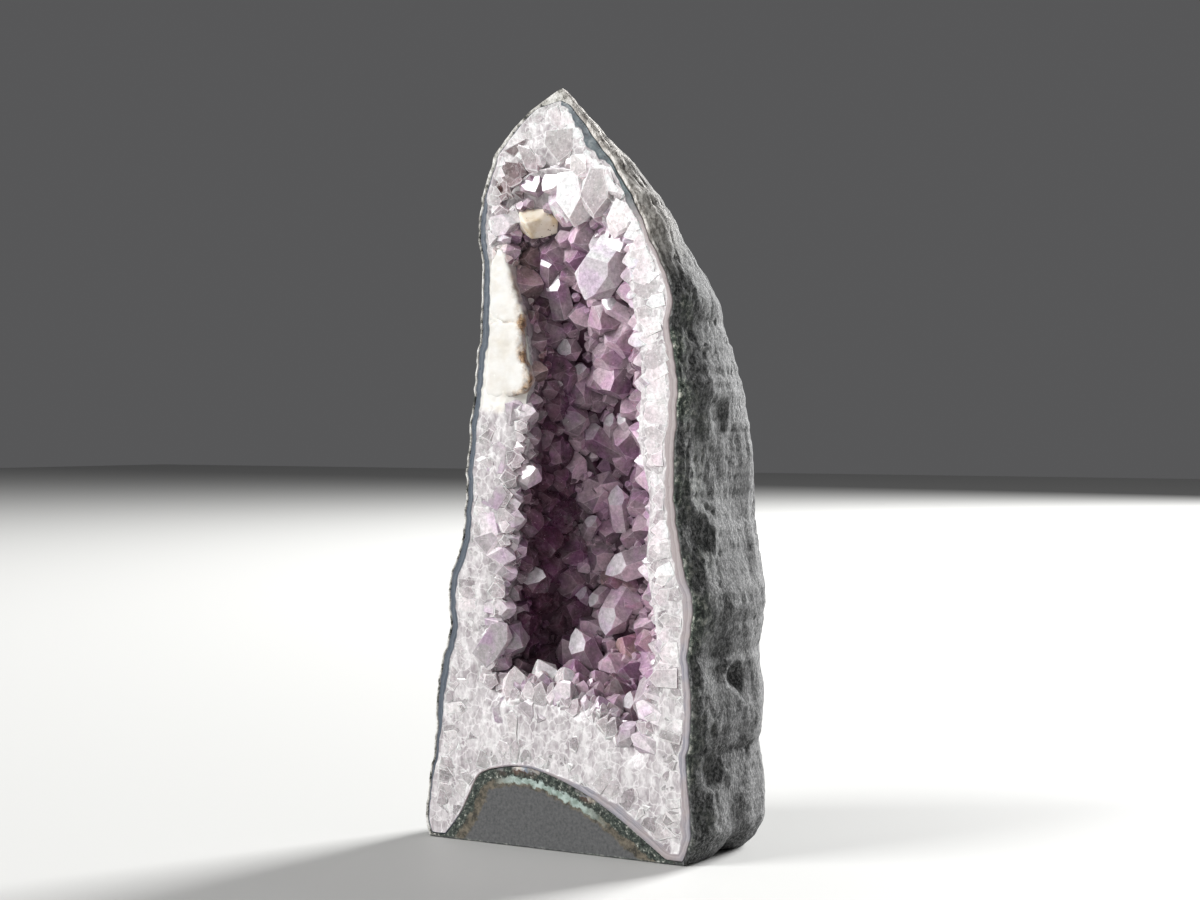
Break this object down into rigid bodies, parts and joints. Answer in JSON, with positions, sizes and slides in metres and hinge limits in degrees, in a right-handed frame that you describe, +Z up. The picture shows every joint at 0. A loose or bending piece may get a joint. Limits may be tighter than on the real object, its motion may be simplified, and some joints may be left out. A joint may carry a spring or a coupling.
{
  "type": "amethyst cathedral geode",
  "caption": "Tall half geode that stands on a flat cut foot: rough basalt outside, agate and white quartz rim, and a deep hollow lined with amethyst crystals.",
  "frame": {"origin": "the middle of the object's box, on the flat foot that it stands on", "axes": "+Z is up along the tall hollow; -Y is the way the sawn, open face looks; +X is to the right as that face is seen"},
  "size_m": [0.1397, 0.0929, 0.31],
  "materials": {
    "basalt": "rough grey basalt, sawn flat on the front and underneath",
    "amethyst": "glossy lilac to purple crystals on milky quartz, with a thin agate rind"
  },
  "bodies": {
    "root": {"basalt_matrix": "basalt", "crystal_crust": "amethyst"}
  },
  "joints": []
}
